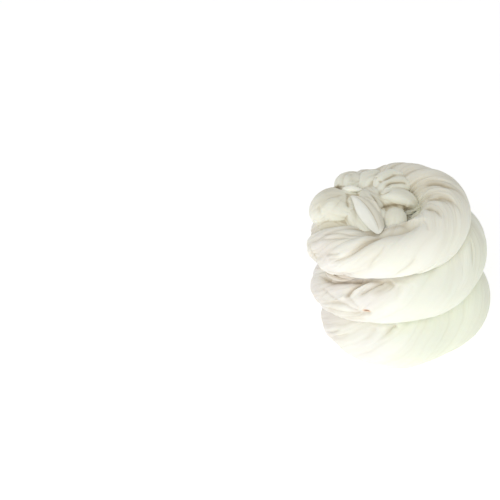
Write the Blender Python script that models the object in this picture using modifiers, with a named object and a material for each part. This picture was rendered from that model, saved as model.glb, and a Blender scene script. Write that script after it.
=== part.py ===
"""Coiled hank of ribbon yarn: a twisted bundle of soft ribbon wound in three stacked turns.

The bundle starts as a thin tail under the coil, climbs anticlockwise through three turns and ends in a
bunch of gathered folds on top, whose tail is tucked down through the middle. One leaf-shaped loose end
of the ribbon lies over the bunch. Everything is in metres with +Z up. The origin is under the middle of
the coil, on the surface that it rests on, and the front of the coil faces -Y.
"""

import math
from collections import namedtuple

import bmesh
import bpy
import numpy as np
from mathutils import Euler, Matrix, Vector

MM = 0.001

# Driving sizes, in millimetres
AXIS_X_AT_FLOOR = 12.0
LEAN_PER_MM = 0.205
TWISTS_PER_LAP = 2.7
LOBE_DEPTH = 3.8
LOBE_STARTS = (0.0, 0.28, 0.70)
SECTION_SIDES = 60
STAND = (-1.1, 0.65, 0.0)
STEPS_PER_LAP = 110
END_ROUNDING = 0.10

# The core: the end of the bundle, tucked down through the coil
CORE_RADIUS = 36.0
CORE_TOP = 108.0
CORE_FOOT = 4.0
CORE_DOME = 26.0
CORE_FOLDS = 5
CORE_RINGS = 60

# Fusing and facing
PUFF_MERIDIANS = 56
PUFF_PARALLELS = 28
FUSE_VOXEL = 1.5
SETTLE_SHARE = 0.5
SETTLE_PASSES = 4
HANK_FACES = 9600
FLOOR_CUT = 60.0

# The loose end
RIBBON_THICKNESS = 1.2
RIBBON_CLEARANCE = 2.2
RIBBON_STATIONS = 17
RIBBON_ACROSS = 9

# The bundle's route: laps counted from the front of the bottom turn, anticlockwise from above. reach is
# the distance of the bundle's middle from the coil's leaning axis; the rest are its height and half sizes.
Station = namedtuple("Station", "lap reach height half_width half_height")
ROUTE = (
    Station(-0.75, 46, 5, 14, 8),
    Station(-0.50, 45, 8, 21, 12),
    Station(-0.25, 51, 14, 22, 18),
    Station(-0.10, 49, 20, 23, 23),
    Station(0.00, 46, 22, 23, 25),
    Station(0.12, 39, 25, 23, 27),
    Station(0.25, 51, 34, 25, 34),
    Station(0.38, 49, 34, 24, 31),
    Station(0.50, 46, 36, 24, 27),
    Station(0.75, 52, 43, 25, 24),
    Station(0.88, 50, 58, 24, 23),
    Station(1.00, 48, 69, 24, 23),
    Station(1.12, 49, 74, 24, 24),
    Station(1.25, 53, 85, 25, 28),
    Station(1.50, 46, 81, 24, 26),
    Station(1.75, 48, 85, 25, 25),
    Station(1.88, 47, 99, 24, 23),
    Station(2.00, 45, 107, 24, 22),
    Station(2.12, 46, 113, 22, 23),
    Station(2.25, 47, 118, 21, 24),
    Station(2.50, 42, 115, 23, 23),
    Station(2.75, 36, 118, 19, 17),
    Station(2.92, 22, 120, 12, 12),
)

# The bunch on top: puffs of ribbon, each drawn together towards one end. x, y and z are its middle, long
# wide and high its half sizes; turn and tip aim the gathered end, in degrees; folds is how many ridges.
Puff = namedtuple("Puff", "name x y z long wide high turn tip folds depth")
BUNCH = (
    Puff("bed", -20, 9, 111, 38, 30, 17, 180, 0, 7, 2.5),
    Puff("left", -56, 0, 117, 20, 16, 15, 45, 20, 5, 2.6),
    Puff("under_leaf", -29, -13, 122, 25, 12, 10, 123, 12, 5, 2.0),
    Puff("panel", -22, -6, 124, 21, 9, 8, 121, 12, 4, 1.6),
    Puff("ear", -5, 7, 124, 17, 11, 8, 190, 14, 4, 1.4),
    Puff("fan_fold", -9, 20, 128, 19, 8, 7, 227, 12, 5, 1.6),
    Puff("fan_crest", -11, 32, 127, 21, 10, 9, 237, 12, 5, 1.8),
    Puff("round", -5, -9, 115, 14, 12, 11, 90, 25, 5, 1.8),
    Puff("back_left", -46, 30, 119, 23, 13, 12, 259, 15, 6, 2.2),
    Puff("back_right", -28, 31, 123, 22, 12, 10, 252, 15, 6, 2.2),
    Puff("plug", 11, 14, 111, 18, 9, 8, 225, 12, 5, 1.6),
)

# The loose end: a leaf-shaped fold from its root in the bunch to its tip by the front of the top turn.
# x, y and z run down its middle; arch is how far its edges hang below the middle.
Leaf = namedtuple("Leaf", "x y z half_width arch")
LOOSE_END = (
    Leaf(-46, 4, 138.0, 2.0, 0.2),
    Leaf(-41, -5, 137.5, 5.5, 1.4),
    Leaf(-35, -15, 136.0, 8.0, 2.4),
    Leaf(-28, -26, 132.0, 8.5, 2.6),
    Leaf(-22, -35, 128.5, 6.5, 1.6),
    Leaf(-18, -41, 127.5, 2.5, 0.2),
)


def clear_scene():
    """Removes whatever the file holds."""
    for item in list(bpy.data.objects):
        bpy.data.objects.remove(item, do_unlink=True)


def make_collection(name):
    """A collection of this name in the scene."""
    collection = bpy.data.collections.new(name)
    bpy.context.scene.collection.children.link(collection)
    return collection


def cloth_material(name, colour, roughness):
    """Soft unbleached cloth, as a plain Principled material."""
    material = bpy.data.materials.new(name)
    material.use_nodes = True
    shader = material.node_tree.nodes["Principled BSDF"]
    shader.inputs["Base Color"].default_value = (*colour, 1.0)
    shader.inputs["Roughness"].default_value = roughness
    shader.inputs["Metallic"].default_value = 0.0
    return material


def read_table(rows, at):
    """A smooth cubic reading of a table whose first column is the place: the other columns at a place."""
    data = np.array(rows, float)
    place = data[:, 0]
    slopes = np.gradient(data[:, 1:], place, axis=0)
    i = int(np.clip(np.searchsorted(place, at) - 1, 0, len(place) - 2))
    span = place[i + 1] - place[i]
    t = min(max((at - place[i]) / span, 0.0), 1.0)
    start = (1 + 2 * t) * (1 - t) ** 2 * data[i, 1:] + t * (1 - t) ** 2 * span * slopes[i]
    end = t * t * (3 - 2 * t) * data[i + 1, 1:] + t * t * (t - 1) * span * slopes[i + 1]
    return start + end


def axis_x(height):
    """Where the coil's leaning axis stands at a height."""
    return AXIS_X_AT_FLOOR - LEAN_PER_MM * height


def lobe_profile(turns):
    """How full the bundle is at a place round its section: 1 on a lobe's crest, 0 in a crease."""
    place = turns % 1.0
    edges = (*LOBE_STARTS, 1.0)
    for low, high in zip(edges, edges[1:]):
        if low <= place < high:
            return math.sin(math.pi * (place - low) / (high - low)) ** 0.6
    return 0.0


def add_loft(mesh, rings):
    """A closed body through rings of points, with a middle point at each end."""
    rows = [[mesh.verts.new(point * MM) for point in ring] for ring in rings]
    count = len(rings[0])
    for low, high in zip(rows, rows[1:]):
        for i in range(count):
            j = (i + 1) % count
            mesh.faces.new((low[i], low[j], high[j], high[i]))
    for row, turned in ((rows[0], True), (rows[-1], False)):
        middle = mesh.verts.new(sum((v.co for v in row), Vector()) / count)
        for i in range(count):
            j = (i + 1) % count
            pair = (row[j], row[i]) if turned else (row[i], row[j])
            mesh.faces.new((*pair, middle))


def add_turns(mesh):
    """The wound bundle: lobed sections that twist as they follow the route."""
    first, last = ROUTE[0].lap, ROUTE[-1].lap
    rings = []
    for lap in np.linspace(first, last, int((last - first) * STEPS_PER_LAP)):
        reach, height, half_width, half_height = read_table(ROUTE, lap)
        bearing = 2 * math.pi * (lap - 0.25)
        outward = Vector((math.cos(bearing), math.sin(bearing), 0.0))
        middle = Vector((axis_x(height), 0.0, height)) + outward * reach
        from_end = min(lap - first, last - lap) / END_ROUNDING
        rounding = math.sqrt(max(1.0 - max(1.0 - from_end, 0.0) ** 2, 0.02))
        ring = []
        for side in range(SECTION_SIDES):
            turns = side / SECTION_SIDES
            angle = 2 * math.pi * turns
            crease = LOBE_DEPTH * (1 - lobe_profile(turns - lap * TWISTS_PER_LAP))
            across = (half_width - crease) * math.cos(angle) * rounding
            up = (half_height - crease) * math.sin(angle) * rounding
            ring.append(middle + outward * across + Vector((0.0, 0.0, up)))
        rings.append(ring)
    add_loft(mesh, rings)


def add_core(mesh):
    """The end of the bundle, going down through the middle of the coil to the surface."""
    rings = []
    for height in np.linspace(-CORE_FOOT, CORE_TOP - 0.5, CORE_RINGS):
        ring = []
        into_dome = max(height - CORE_TOP + CORE_DOME, 0.0) / CORE_DOME
        closing = math.sqrt(1.0 - into_dome**2)
        for side in range(SECTION_SIDES):
            angle = 2 * math.pi * side / SECTION_SIDES
            fold = abs(math.sin(CORE_FOLDS * (angle + 0.02 * height) / 2)) ** 0.6
            radius = (CORE_RADIUS - LOBE_DEPTH * (1 - fold)) * closing
            point = Vector((radius * math.cos(angle), radius * math.sin(angle), height))
            ring.append(point + Vector((axis_x(height), 0.0, 0.0)))
        rings.append(ring)
    add_loft(mesh, rings)


def add_puff(mesh, puff):
    """A gathered puff: a ball whose ridges run along it and are drawn in at its gathered end."""
    made = bmesh.ops.create_uvsphere(
        mesh, u_segments=PUFF_MERIDIANS, v_segments=PUFF_PARALLELS, radius=1.0
    )
    lie_down = Matrix.Rotation(math.radians(90), 4, "Y")
    aim = Euler((0.0, -math.radians(puff.tip), math.radians(puff.turn))).to_matrix().to_4x4()
    for vert in made["verts"]:
        x, y, z = vert.co
        round_it = math.atan2(y, x)
        girth = math.hypot(x, y)
        ridge = abs(math.sin(puff.folds * round_it / 2 + 0.6 * z)) ** 0.7
        drawn_in = 1.0 - 0.35 * max(z, 0.0) ** 2
        inward = puff.depth * (1 - ridge) * girth
        shrink = Vector((x * (puff.high - inward), y * (puff.wide - inward), 0.0)) * drawn_in
        along = Vector((0.0, 0.0, z * puff.long))
        vert.co = aim @ lie_down @ (shrink + along)
        vert.co = (vert.co + Vector((puff.x, puff.y, puff.z))) * MM


def triangles_of(item):
    """How many triangles the object has as evaluated."""
    evaluated = item.evaluated_get(bpy.context.evaluated_depsgraph_get())
    evaluated.data.calc_loop_triangles()
    return len(evaluated.data.loop_triangles)


def make_floor_cutter(collection):
    """The space under the surface that the coil rests on."""
    mesh = bmesh.new()
    bmesh.ops.create_cube(mesh, size=4 * FLOOR_CUT * MM)
    data = bpy.data.meshes.new("floor_cutter")
    mesh.to_mesh(data)
    mesh.free()
    cutter = bpy.data.objects.new("floor_cutter", data)
    cutter.location = (0.0, 0.0, -2 * FLOOR_CUT * MM)
    cutter.hide_render = True
    cutter.display_type = "WIRE"
    collection.objects.link(cutter)
    return cutter


def make_hank(collection, cutter):
    """The coil, its core and the bunch as one body, flat where it rests."""
    mesh = bmesh.new()
    add_turns(mesh)
    add_core(mesh)
    for puff in BUNCH:
        add_puff(mesh, puff)
    data = bpy.data.meshes.new("coiled_hank")
    mesh.to_mesh(data)
    mesh.free()
    hank = bpy.data.objects.new("coiled_hank", data)
    collection.objects.link(hank)
    data.materials.append(cloth_material("unbleached_ribbon", (0.80, 0.79, 0.70), 0.85))
    fuse = hank.modifiers.new("fuse", "REMESH")
    fuse.mode = "VOXEL"
    fuse.voxel_size = FUSE_VOXEL * MM
    fuse.use_smooth_shade = True
    settle = hank.modifiers.new("settle", "SMOOTH")
    settle.factor = SETTLE_SHARE
    settle.iterations = SETTLE_PASSES
    thin = hank.modifiers.new("thin", "DECIMATE")
    thin.ratio = HANK_FACES / max(triangles_of(hank), HANK_FACES)
    flat = hank.modifiers.new("flat_foot", "BOOLEAN")
    flat.operation = "DIFFERENCE"
    flat.object = cutter
    return hank


def make_loose_end(collection, hank):
    """The leaf-shaped end, an arched sheet laid over the bunch and held clear of it."""
    places = [(i, *row) for i, row in enumerate(LOOSE_END)]
    mesh = bmesh.new()
    rows = []
    for at in np.linspace(0, len(LOOSE_END) - 1, RIBBON_STATIONS):
        x, y, z, half_width, arch = read_table(places, at)
        ahead = read_table(places, min(at + 0.05, len(LOOSE_END) - 1))
        behind = read_table(places, max(at - 0.05, 0))
        along = Vector((ahead[0] - behind[0], ahead[1] - behind[1], 0.0)).normalized()
        side = Vector((-along.y, along.x, 0.0))
        row = []
        for share in np.linspace(-1.0, 1.0, RIBBON_ACROSS):
            point = Vector((x, y, z - arch * share**2)) + side * half_width * share
            row.append(mesh.verts.new(point * MM))
        rows.append(row)
    for low, high in zip(rows, rows[1:]):
        for i in range(RIBBON_ACROSS - 1):
            mesh.faces.new((low[i], high[i], high[i + 1], low[i + 1]))
    bmesh.ops.recalc_face_normals(mesh, faces=mesh.faces)
    if mesh.faces[:][0].normal.z < 0:
        bmesh.ops.reverse_faces(mesh, faces=mesh.faces)
    data = bpy.data.meshes.new("loose_end")
    mesh.to_mesh(data)
    mesh.free()
    sheet = bpy.data.objects.new("loose_end", data)
    collection.objects.link(sheet)
    data.materials.append(cloth_material("ribbon_end", (0.86, 0.86, 0.78), 0.8))
    lift = sheet.modifiers.new("lift", "SHRINKWRAP")
    lift.wrap_method = "NEAREST_SURFACEPOINT"
    lift.wrap_mode = "OUTSIDE"
    lift.target = hank
    lift.offset = RIBBON_CLEARANCE * MM
    thicken = sheet.modifiers.new("thicken", "SOLIDIFY")
    thicken.thickness = RIBBON_THICKNESS * MM
    thicken.offset = 1.0
    return sheet


def stand(collection, items):
    """Hangs the pieces on one empty that brings the middle of the coil's box over the origin."""
    middle = bpy.data.objects.new("middle_of_coil", None)
    collection.objects.link(middle)
    middle.location = Vector(STAND) * MM
    for item in items:
        item.parent = middle


def main():
    """Makes the coil and its loose end and stands them over the origin."""
    clear_scene()
    parts = make_collection("ribbon_yarn")
    cutters = make_collection("cutters")
    cutter = make_floor_cutter(cutters)
    hank = make_hank(parts, cutter)
    loose_end = make_loose_end(parts, hank)
    stand(parts, (hank, loose_end))


main()
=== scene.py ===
"""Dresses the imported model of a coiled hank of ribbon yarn.

A bundle of undyed chiffon ribbon is twisted and wound in three stacked turns. A bunch of gathered folds
lies on top, with one leaf-shaped loose end of the ribbon over it. Tables are in millimetres, in the
frame of the wound coil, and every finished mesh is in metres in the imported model's frame.
"""

import logging
import math
from collections.abc import Callable
from dataclasses import dataclass
from enum import Enum
from functools import partial
from typing import Any

import bpy
import numpy as np
from bpy.types import Material, Mesh, NodeSocket, NodeTree, Object
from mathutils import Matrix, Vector
from mathutils.bvhtree import BVHTree


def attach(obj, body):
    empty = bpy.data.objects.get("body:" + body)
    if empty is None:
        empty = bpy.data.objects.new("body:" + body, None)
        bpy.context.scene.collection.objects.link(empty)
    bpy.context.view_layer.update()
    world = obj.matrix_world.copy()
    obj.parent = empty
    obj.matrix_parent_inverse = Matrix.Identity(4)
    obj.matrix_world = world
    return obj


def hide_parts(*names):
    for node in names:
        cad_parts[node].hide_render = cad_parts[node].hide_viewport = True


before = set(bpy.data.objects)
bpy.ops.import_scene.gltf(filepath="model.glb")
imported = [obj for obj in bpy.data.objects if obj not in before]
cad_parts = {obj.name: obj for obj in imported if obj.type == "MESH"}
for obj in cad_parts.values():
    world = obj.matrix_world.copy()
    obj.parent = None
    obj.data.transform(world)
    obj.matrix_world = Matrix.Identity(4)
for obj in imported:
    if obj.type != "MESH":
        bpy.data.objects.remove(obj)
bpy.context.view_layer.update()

Array = np.ndarray
NodeMaker = Callable[..., NodeSocket]
log = logging.getLogger("ribbon_yarn")

MM = 0.001
BODY = "root"
TURN_ROUND = 2 * math.pi
STAND = np.array((-1.1, 0.65, 0.0))  # from the wound coil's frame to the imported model's
UP = np.array((0.0, 0.0, 1.0))
FOLD_REACH = 6.0  # a fold dies away within this many of its widths
LAPS_BESIDE = 0.12  # and within this much of a lap past its ends
MM_PER_LAP = 400.0  # a swathe's pleats count its length in laps of this length

# The kinds of node that stand in more than one place
MATH, VECTOR_MATH, MIX = "ShaderNodeMath", "ShaderNodeVectorMath", "ShaderNodeMix"
NOISE, RANGE, RAMP = "ShaderNodeTexNoise", "ShaderNodeMapRange", "ShaderNodeValToRGB"
PLACE, NORMAL, MOVE = "GeometryNodeInputPosition", "GeometryNodeInputNormal", "GeometryNodeSetPosition"
READ, KEEP = "GeometryNodeInputNamedAttribute", "GeometryNodeStoreNamedAttribute"
BLUR, SAMPLE = "GeometryNodeBlurAttribute", "GeometryNodeSampleNearestSurface"
AS_VECTOR = "FLOAT_VECTOR"


# ---------------------------------------------------------------- small tools


def linear(code: str) -> tuple[float, float, float, float]:
    """Turns an sRGB hex colour to the linear colour that shaders take.

    Args:
        code: six hex digits, such as "F2F0E6".

    Returns:
        Red, green, blue and alpha, linear.
    """
    parts = [int(code[i : i + 2], 16) / 255 for i in (0, 2, 4)]
    made = [p / 12.92 if p <= 0.04045 else ((p + 0.055) / 1.055) ** 2.4 for p in parts]
    return (*made, 1.0)


def add_node(
    tree: NodeTree, kind: str, inputs: Any = (), out: int | str = 0, stops: tuple = (), **settings: Any
) -> NodeSocket | None:
    """Adds a node with its settings and links.

    Args:
        tree: the tree that it goes in.
        kind: the node's type name.
        inputs: values in order, or by input name or number. A socket is linked, anything else is set.
        out: the output to give back.
        stops: a colour ramp's places and hex colours, from 0 to 1.
        **settings: properties of the node to set.

    Returns:
        That output, or None where the node has no outputs.
    """
    node = tree.nodes.new(kind)
    for name, value in settings.items():
        setattr(node, name, value)
    for place, code in stops:
        ramp = node.color_ramp.elements
        stop = ramp.new(place) if 0 < place < 1 else ramp[-1 if place else 0]
        stop.color = linear(code)
    for key, value in inputs.items() if isinstance(inputs, dict) else enumerate(inputs):
        if isinstance(value, NodeSocket):
            tree.links.new(value, node.inputs[key])
        else:
            node.inputs[key].default_value = value
    return node.outputs[out] if node.outputs else None


def smooth_step(low: float, high: float, at: Array) -> Array:
    """A soft rise from 0 at low to 1 at high."""
    t = np.clip((at - low) / (high - low), 0.0, 1.0)
    return t * t * (3 - 2 * t)


def unit(vectors: Array) -> Array:
    """The vectors, each scaled to length 1."""
    return vectors / np.maximum(np.linalg.norm(vectors, axis=-1, keepdims=True), 1e-12)


def read_table(rows: Array, at: Array) -> Array:
    """A smooth cubic reading of a table whose first column is the place.

    Args:
        rows: the table, one row for each place.
        at: the places to read.

    Returns:
        The other columns at each of those places.
    """
    place, data = rows[:, 0], rows[:, 1:]
    slopes = np.gradient(data, place, axis=0)
    i = np.clip(np.searchsorted(place, at) - 1, 0, len(place) - 2)
    span = (place[i + 1] - place[i])[:, None]
    t = np.clip((at - place[i])[:, None] / span, 0.0, 1.0)
    start = (1 + 2 * t) * (1 - t) ** 2 * data[i] + t * (1 - t) ** 2 * span * slopes[i]
    end = t * t * (3 - 2 * t) * data[i + 1] + t * t * (t - 1) * span * slopes[i + 1]
    return start + end


def smooth_rows(rows: Any, count: int) -> Array:
    """Reads evenly placed rows smoothly, from the first to the last.

    Args:
        rows: the rows of numbers.
        count: how many readings to make.

    Returns:
        One row for each reading.
    """
    rows = np.asarray(rows, float)
    places = np.arange(len(rows))[:, None]
    return read_table(np.concatenate((places, rows), 1), np.linspace(0, len(rows) - 1, count))


def put_in_scene(name: str, data: Any) -> Object:
    """Makes an object and links it to the scene.

    Args:
        name: its name.
        data: its mesh, light or camera.

    Returns:
        The object.
    """
    item = bpy.data.objects.new(name, data)
    bpy.context.scene.collection.objects.link(item)
    return item


def plain_mesh(item: Object) -> Mesh:
    """Works out an object's modifiers.

    Args:
        item: the object.

    Returns:
        Its mesh as they leave it.
    """
    graph = bpy.context.evaluated_depsgraph_get()
    worked = item.evaluated_get(graph)
    return bpy.data.meshes.new_from_object(worked, preserve_all_data_layers=True, depsgraph=graph)


def read_numbers(data: Any, name: str, width: int = 1) -> Array:
    """Reads a property of each member of a mesh's list.

    Args:
        data: the list, such as a mesh's vertices.
        name: the property.
        width: how many numbers it has.

    Returns:
        The numbers, in rows where it has more than one.
    """
    values = np.empty(len(data) * width, np.float32)
    data.foreach_get(name, values)
    return values.reshape(-1, width).astype(float) if width > 1 else values.astype(float)


def store_numbers(mesh: Mesh, name: str, values: Array, kind: str = "FLOAT") -> None:
    """Stores a number, or a vector, on each of the mesh's points under a name."""
    column = mesh.attributes.new(name, kind, "POINT")
    column.data.foreach_set("value" if kind == "FLOAT" else "vector", values.astype(np.float32).ravel())


def ring_faces(rows: int, sides: int) -> Array:
    """The four-sided faces between closed rings of points, facing outwards.

    Args:
        rows: how many rings there are.
        sides: how many points a ring has.

    Returns:
        Each face's four points.
    """
    row, side = np.meshgrid(np.arange(rows - 1) * sides, np.arange(sides), indexing="ij")
    beside = (side + 1) % sides
    corners = (row + side, row + sides + side, row + sides + beside, row + beside)
    return np.stack(corners, -1).reshape(-1, 4)


def shell_faces(rows: int, sides: int) -> list[list[int]]:
    """The faces of a closed tube: its rings, and a fan at each end round a point listed after the rings.

    Args:
        rows: how many rings there are.
        sides: how many points a ring has.

    Returns:
        Each face's points.
    """
    first, last, top = rows * sides, rows * sides + 1, (rows - 1) * sides
    faces = ring_faces(rows, sides).tolist()
    for side in range(sides):
        beside = (side + 1) % sides
        faces += [[first, side, beside], [last, top + beside, top + side]]
    return faces


# ---------------------------------------------------------------- the bundle's route

# A section of the wound bundle: its lap, distance from the coil's axis, height, half width, half height
Station = tuple[float, float, float, float, float]


@dataclass(frozen=True)
class WoundRoute:
    """The route of the bundle round the coil's leaning axis, and its twist."""

    stations: tuple[Station, ...]
    axis_x_at_floor: float = 12.0
    lean_per_mm: float = 0.205
    twists_per_lap: float = 2.7
    end_rounding: float = 0.10
    least_end: float = 0.02
    lobe_starts: tuple[float, ...] = (0.0, 0.28, 0.70)
    lobe_fullness: float = 0.8
    front_at_lap: float = 0.25

    @property
    def ends(self) -> tuple[float, float]:
        """The laps at which the bundle starts and stops."""
        return self.stations[0][0], self.stations[-1][0]

    def lobe(self, twisted: Array) -> Array:
        """How full the bundle is round its section.

        Args:
            twisted: the place round the section, in turns that follow the twist.

        Returns:
            1 on a lobe's crest, 0 in a crease.
        """
        place = np.mod(twisted, 1.0)
        full = np.zeros_like(place)
        edges = (*self.lobe_starts, 1.0)
        for low, high in zip(edges, edges[1:]):
            inside = (place >= low) & (place < high)
            rise = np.sin(math.pi * np.clip((place - low) / (high - low), 0.0, 1.0)) ** self.lobe_fullness
            full = np.where(inside, rise, full)
        return full

    def surface(self, laps: Array, rounds: Array, lobe_depth: Array | float = 0.0) -> Array:
        """Points on the bundle's surface, in millimetres.

        Args:
            laps: the place along the bundle of each point.
            rounds: the place round the section, in turns from the outer side upwards.
            lobe_depth: how deep the creases between the main lobes are.

        Returns:
            The points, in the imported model's frame.
        """
        shape = laps.shape
        read = read_table(np.array(self.stations), laps.ravel())
        reach, height, half_width, half_height = (column.reshape(shape) for column in read.T)
        bearing = TURN_ROUND * (laps - self.front_at_lap)
        outward = np.stack((np.cos(bearing), np.sin(bearing), np.zeros(shape)), -1)
        axis_x = self.axis_x_at_floor - self.lean_per_mm * height
        middle = np.stack((axis_x, np.zeros(shape), height), -1) + outward * reach[..., None]
        first, last = self.ends
        from_end = np.minimum(laps - first, last - laps) / self.end_rounding
        rounding = np.sqrt(np.maximum(1 - np.maximum(1 - from_end, 0) ** 2, self.least_end))
        crease = lobe_depth * (1 - self.lobe(rounds - laps * self.twists_per_lap))
        angle = TURN_ROUND * rounds
        across = (half_width - crease) * np.cos(angle) * rounding
        rise = (half_height - crease) * np.sin(angle) * rounding
        return middle + outward * across[..., None] + UP * rise[..., None] + STAND

    def line(self, path: Any, count: int) -> Array:
        """A smooth line on the surface through (lap, degrees round) points, with this many points."""
        places = smooth_rows(path, count)
        return self.surface(places[:, 0], places[:, 1] / 360)


ROUTE = WoundRoute(
    stations=(
        (-0.75, 46, 5, 14, 8), (-0.5, 45, 8, 21, 12), (-0.25, 51, 14, 22, 18), (-0.1, 49, 20, 23, 23),
        (0.0, 46, 22, 23, 25), (0.12, 39, 25, 23, 27), (0.25, 51, 34, 25, 34), (0.38, 49, 34, 24, 31),
        (0.5, 46, 36, 24, 27), (0.75, 52, 43, 25, 24), (0.88, 50, 58, 24, 23), (1.0, 48, 69, 24, 23),
        (1.12, 49, 74, 24, 24), (1.25, 53, 85, 25, 28), (1.5, 46, 81, 24, 26), (1.75, 48, 85, 25, 25),
        (1.88, 47, 99, 24, 23), (2.0, 45, 107, 24, 22), (2.12, 46, 113, 22, 23), (2.25, 47, 118, 21, 24),
        (2.5, 42, 115, 23, 23), (2.62, 39, 113, 20, 19), (2.75, 35, 108, 16, 15),
        (2.92, 22, 104, 10, 10),
    )
)

# How slack the ribbon lies at a lap: 0 drawn smooth, 1 deeply gathered. Then the depth of the main lobes.
SLACKNESS = np.array(
    (
        (-0.75, 0.8, 2.5), (-0.3, 0.8, 2.5), (-0.2, 0.55, 1.6), (-0.08, 0.35, 0.8), (0.0, 0.25, 0.6),
        (0.12, 0.25, 0.6), (0.25, 0.4, 1.2), (0.5, 0.8, 3.0), (0.75, 0.75, 2.2), (0.86, 0.45, 1.0),
        (0.97, 0.28, 0.6), (1.06, 0.2, 0.6), (1.22, 0.4, 1.2), (1.5, 0.8, 3.0), (1.75, 0.8, 2.5),
        (1.9, 0.5, 1.2), (2.0, 0.25, 0.8), (2.12, 0.25, 0.8), (2.3, 0.5, 1.6), (2.6, 0.9, 3.0),
        (2.92, 1.0, 2.0),
    )
)


# ---------------------------------------------------------------- the listed folds


# A crease's sharp line and soft valley: their shares of its depth, how steep and how wide they are
SHARP_SHARE, SOFT_SHARE, STEEPNESS, SOFT_WIDTHS = 0.7, 0.3, 1.3, 2.4
# A trough's flat floor, and the low lips beside it: their share of its depth, place and width
FLATNESS, LIP_SHARE, LIP_AT, LIP_WIDTHS = 1.6, 0.12, 2.0, 0.8


class FoldForm(Enum):
    """The cross-section of a crease."""

    CREASE = "a sharp line at the bottom of a soft valley"
    TROUGH = "a soft valley"
    RIDGE = "a soft raised line"
    DIMPLE = "a hollow round one point"


@dataclass(frozen=True)
class Fold:
    """One main crease: its form, width and depth, and the points that it passes.

    The points are (lap, degrees round) on a turn and (x, y, z) on the bunch. The two fades are the shares
    of its length over which it starts and dies away. The tint is the shade painted into its valley: how
    much of the deeper shade colour it takes.
    """

    form: FoldForm
    width: float
    depth: float
    path: tuple[tuple[float, ...], ...]
    fade_in: float = 0.3
    fade_out: float = 0.3
    tint: float = 0.8

    def profile(self, side: Array) -> Array:
        """The height of the fold across it, as a share of its depth.

        Args:
            side: the distance from its line, in millimetres.

        Returns:
            The share at each distance.
        """
        x = np.abs(side) / self.width
        if self.form is FoldForm.CREASE:
            sharp, soft = np.exp(-STEEPNESS * x), np.exp(-((x / SOFT_WIDTHS) ** 2))
            return -SHARP_SHARE * sharp - SOFT_SHARE * soft
        if self.form is FoldForm.TROUGH:
            lip = np.exp(-(((x - LIP_AT) / LIP_WIDTHS) ** 2))
            return LIP_SHARE * lip - np.exp(-(x**FLATNESS))
        return np.exp(-(x**2)) * (1 if self.form is FoldForm.RIDGE else -1)

    def rise(self, line: Array, points: Array, normals: Array) -> Array:
        """How far the fold lifts each point.

        Args:
            line: its line, as close-set points in millimetres.
            points: the points to lift, in millimetres.
            normals: the surface's direction at each of them.

        Returns:
            The rise at each point, negative in a valley.
        """
        rise = np.zeros(len(points))
        reach = np.ptp(line, axis=0).max() + FOLD_REACH * self.width
        close = np.where(np.linalg.norm(points - line.mean(0), axis=1) < reach)[0]
        if not len(close):
            return rise
        gap = ((points[close][:, None, :] - line[None]) ** 2).sum(-1)
        if self.form is FoldForm.DIMPLE:
            rise[close] = self.depth * self.profile(np.sqrt(gap.min(1)))
            return rise
        nearest = gap.argmin(1)
        away = points[close] - line[nearest]
        along = unit(np.gradient(line, axis=0))[nearest]
        side = (away * np.cross(normals[close], along)).sum(1)
        t = nearest / (len(line) - 1)
        taper = np.exp(-(((away * along).sum(1) / self.width) ** 2))
        taper *= smooth_step(0.0, self.fade_in, t) * smooth_step(0.0, self.fade_out, 1 - t)
        rise[close] = self.depth * self.profile(side) * taper
        return rise


CREASE, TROUGH, RIDGE, DIMPLE = FoldForm

# Each fold: form, width, depth, path, fade in, fade out, and its tint of shade painted into the valley
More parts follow.
